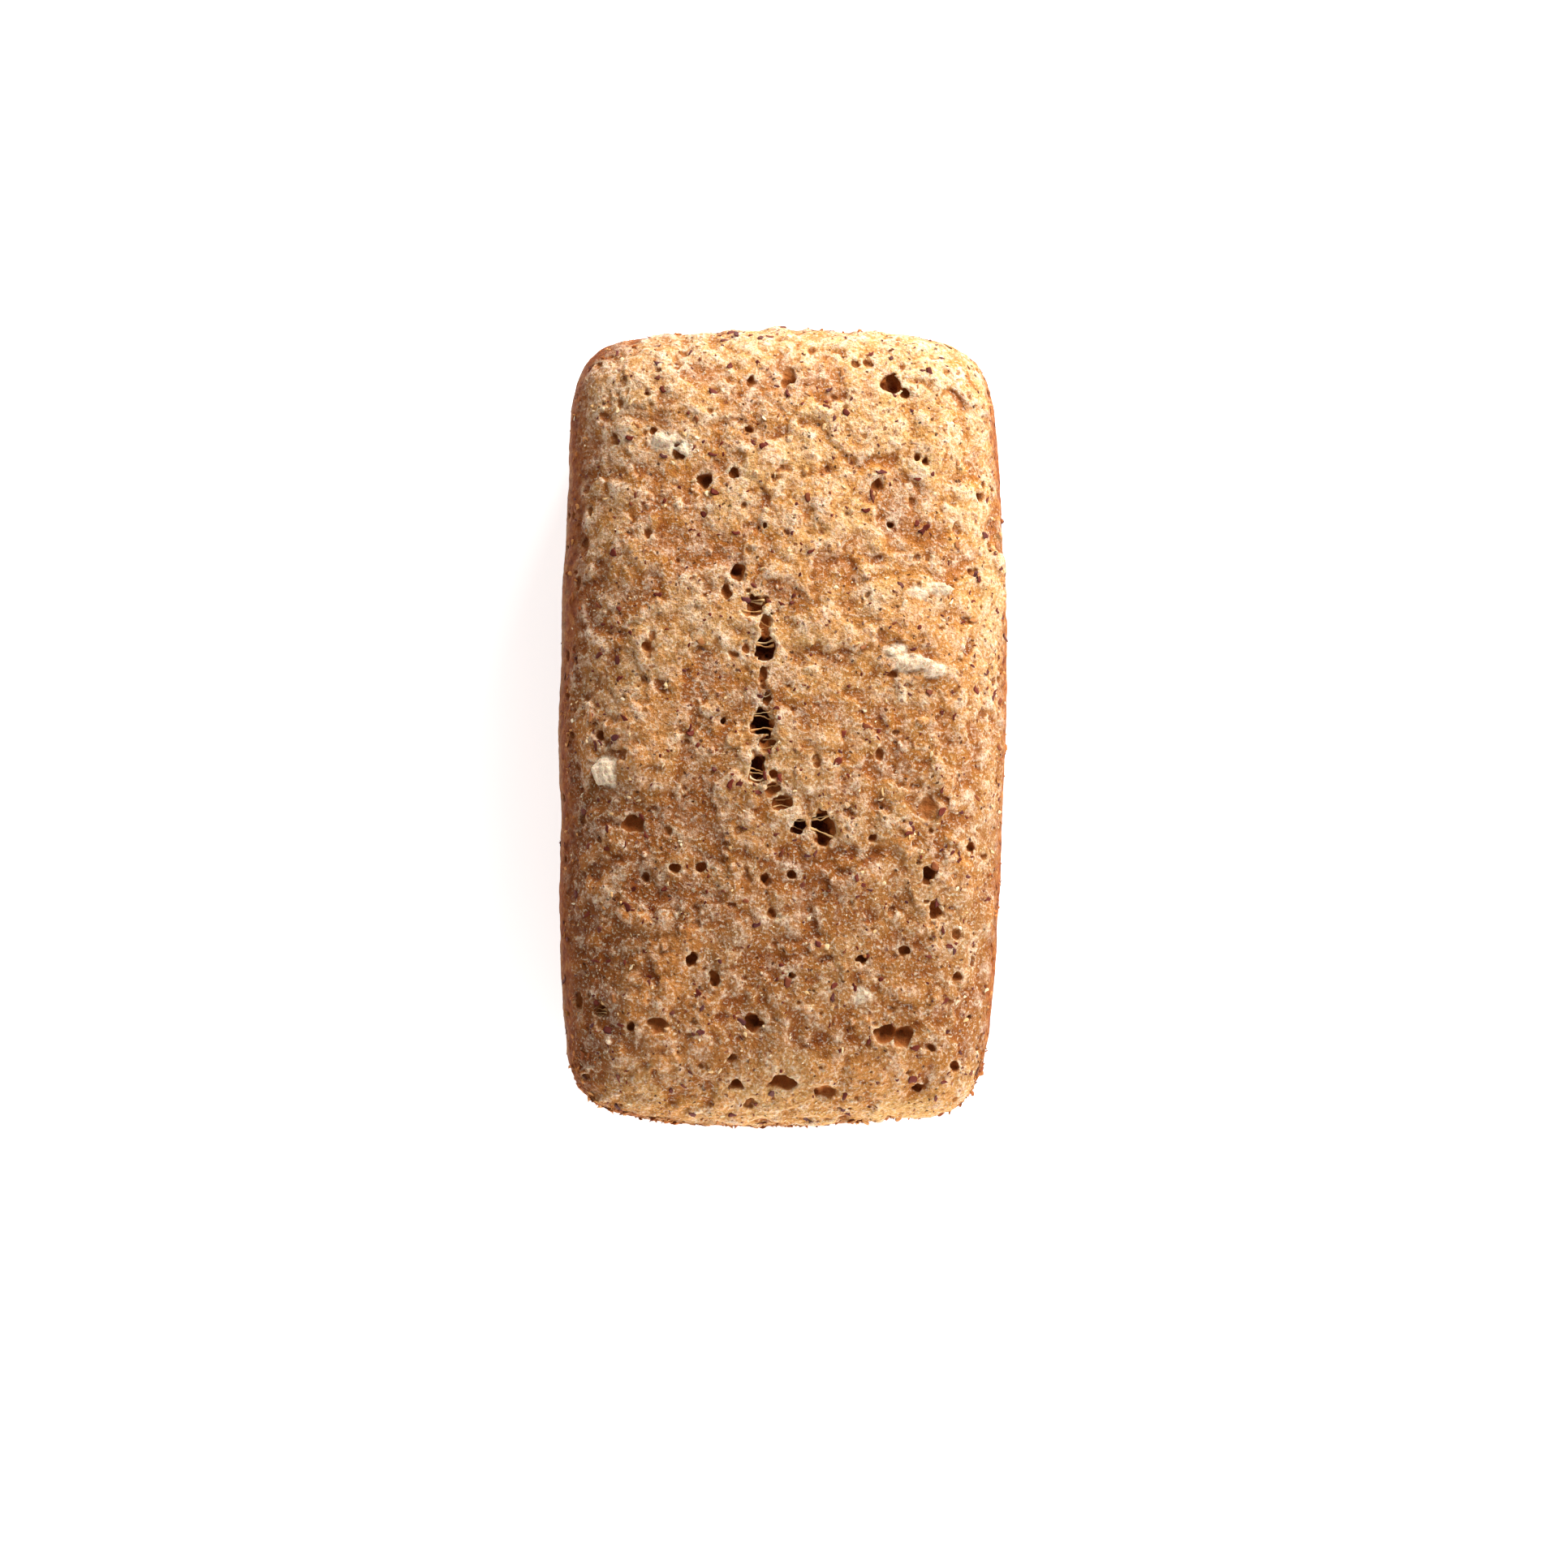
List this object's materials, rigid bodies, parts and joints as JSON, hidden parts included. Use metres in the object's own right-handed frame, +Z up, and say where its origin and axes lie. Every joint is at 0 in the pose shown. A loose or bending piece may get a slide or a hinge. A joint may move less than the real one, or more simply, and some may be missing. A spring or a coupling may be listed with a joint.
{
  "type": "wholegrain tin loaf",
  "caption": "Whole bread loaf baked in a rectangular tin, with a flat base, tapered walls, rounded shoulders, a low crown and a torn, holed top crust.",
  "frame": {"origin": "middle of the flat base that the loaf rests on", "axes": "+Z up out of the crown, +Y along the loaf's length, +X across its width"},
  "size_m": [0.1252, 0.224, 0.084],
  "materials": {
    "crust": "matt, porous golden-brown bread crust, darker on the walls and base that touched the tin"
  },
  "bodies": {
    "root": {"loaf": "crust"}
  },
  "joints": []
}
